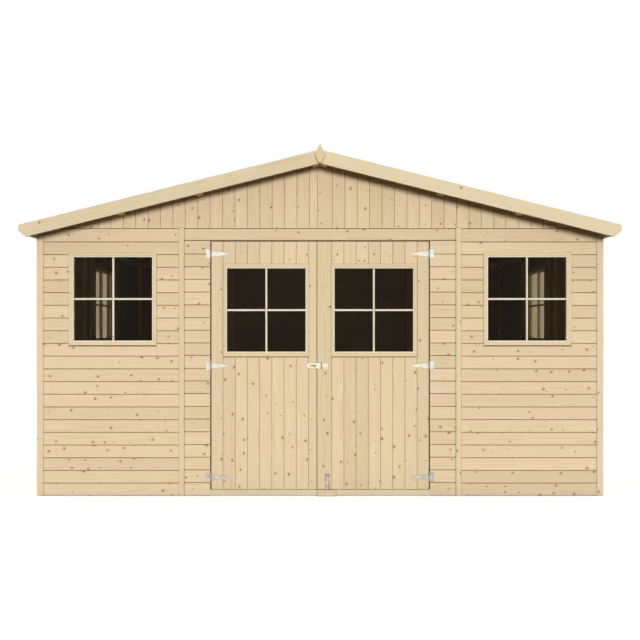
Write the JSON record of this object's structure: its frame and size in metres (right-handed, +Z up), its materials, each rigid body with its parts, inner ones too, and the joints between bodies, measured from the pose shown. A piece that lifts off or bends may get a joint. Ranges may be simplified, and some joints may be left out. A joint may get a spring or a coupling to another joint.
{
  "type": "wooden garden shed with double doors",
  "caption": "Boarded garden shed with a pitched roof, glazed double doors on tee hinges, a hasp and a tower bolt, and windows in the front and side walls.",
  "frame": {"origin": "on the ground under the middle of the shed", "axes": "+X to the right along the front, +Y to the back, +Z up; the doors are in the -Y wall"},
  "size_m": [4.064, 3.424, 2.4005],
  "materials": {
    "cladding_boards": "planed bare pine, matt",
    "framing_timber": "planed bare pine, matt",
    "trim_boards": "planed bare pine, matt",
    "window_joinery": "planed bare pine, matt",
    "roof_boards": "bare pine, matt",
    "window_glass": "clear float glass",
    "zinc_plated_steel": "bright zinc plate"
  },
  "bodies": {
    "shed": {"front_wall_left": "cladding_boards", "front_wall_right": "cladding_boards", "front_wall_beside_doors": "cladding_boards", "door_head_board": "cladding_boards", "front_gable": "cladding_boards", "back_gable": "cladding_boards", "back_wall": "cladding_boards", "left_wall": "cladding_boards", "right_wall": "cladding_boards", "front_wall_battens": "framing_timber", "back_wall_battens": "framing_timber", "side_wall_battens": "framing_timber", "gable_battens": "framing_timber", "door_posts": "framing_timber", "door_sill": "framing_timber", "corner_strips": "trim_boards", "cover_strips": "trim_boards", "front_window_frames": "window_joinery", "front_window_glass": "window_glass", "side_window_frames": "window_joinery", "side_window_glass": "window_glass", "roof_deck_left": "roof_boards", "roof_deck_right": "roof_boards", "purlins": "framing_timber", "eaves_boards": "trim_boards", "front_bargeboards": "trim_boards", "back_bargeboards": "trim_boards", "finials": "trim_boards", "hinge_plates": "zinc_plated_steel", "bolt_keeper": "framing_timber"},
    "left_door": {"left_door_boards": "cladding_boards", "left_door_frame": "framing_timber", "left_door_window": "window_joinery", "left_door_glass": "window_glass", "left_door_straps": "zinc_plated_steel", "hasp_staple": "zinc_plated_steel"},
    "right_door": {"right_door_boards": "cladding_boards", "right_door_frame": "framing_timber", "right_door_window": "window_joinery", "right_door_glass": "window_glass", "right_door_straps": "zinc_plated_steel", "hasp_plate": "zinc_plated_steel", "bolt_plate": "zinc_plated_steel"},
    "hasp": {"hasp_strap": "zinc_plated_steel"},
    "bolt": {"bolt_rod": "zinc_plated_steel"}
  },
  "joints": [
    {"name": "right_door_hinge", "type": "hinge", "parent": "shed", "child": "right_door", "pos_m": [0.757, -1.535, 0.902], "axis": [0, 0, 1], "range_deg": [0, 165]},
    {"name": "left_door_hinge", "type": "hinge", "parent": "shed", "child": "left_door", "pos_m": [-0.757, -1.535, 0.902], "axis": [0, 0, -1], "range_deg": [0, 165]},
    {"name": "hasp_hinge", "type": "hinge", "parent": "right_door", "child": "hasp", "pos_m": [0.009, -1.53625, 0.902], "axis": [0, 0, 1], "range_deg": [0, 170]},
    {"name": "bolt_slide", "type": "slide", "parent": "right_door", "child": "bolt", "axis": [0, 0, -1], "range_m": [0, 0.025]}
  ],
  "couplings": [
    {"joint": "left_door_hinge", "follows": "right_door_hinge", "ratio": 1}
  ]
}
